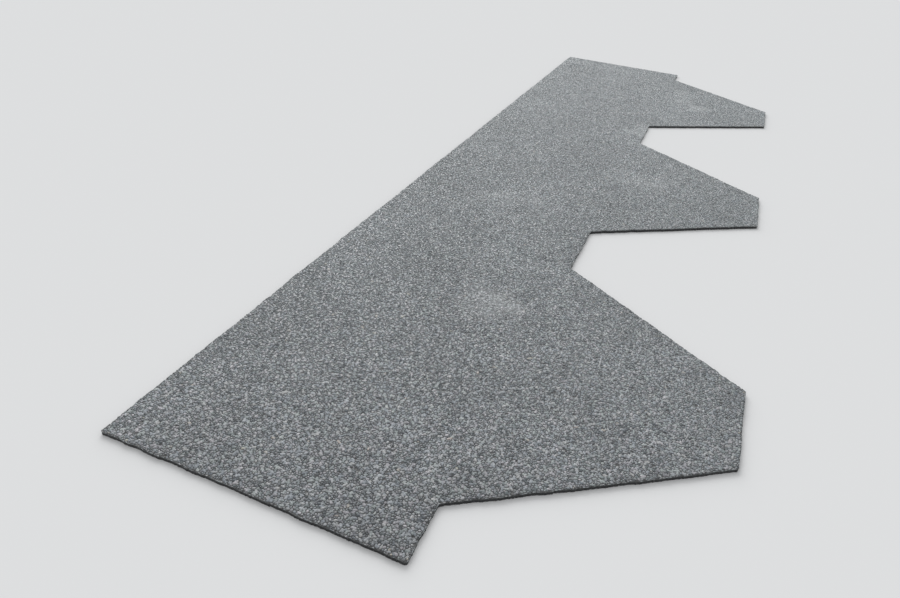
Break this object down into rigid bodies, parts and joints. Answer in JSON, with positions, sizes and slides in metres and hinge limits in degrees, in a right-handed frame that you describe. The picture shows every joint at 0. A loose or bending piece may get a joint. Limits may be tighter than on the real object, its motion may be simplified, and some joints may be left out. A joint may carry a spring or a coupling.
{
  "type": "hexagonal-tab asphalt shingle strip",
  "caption": "Flat asphalt roofing shingle strip with a mineral granule face, hexagonal tabs along its lower edge and a plain head that the next course covers.",
  "frame": {"origin": "under the middle of the strip, on the surface that it lies on", "axes": "+X along the course, +Y from the tabs' feet to the head edge, up the roof slope, +Z out of the mineral face"},
  "size_m": [1, 0.318, 0.003],
  "materials": {
    "granule_face": "grey mineral granules pressed into bitumen, matte, with black bitumen showing at the cut edges"
  },
  "bodies": {
    "root": {"shingle_strip": "granule_face"}
  },
  "joints": []
}
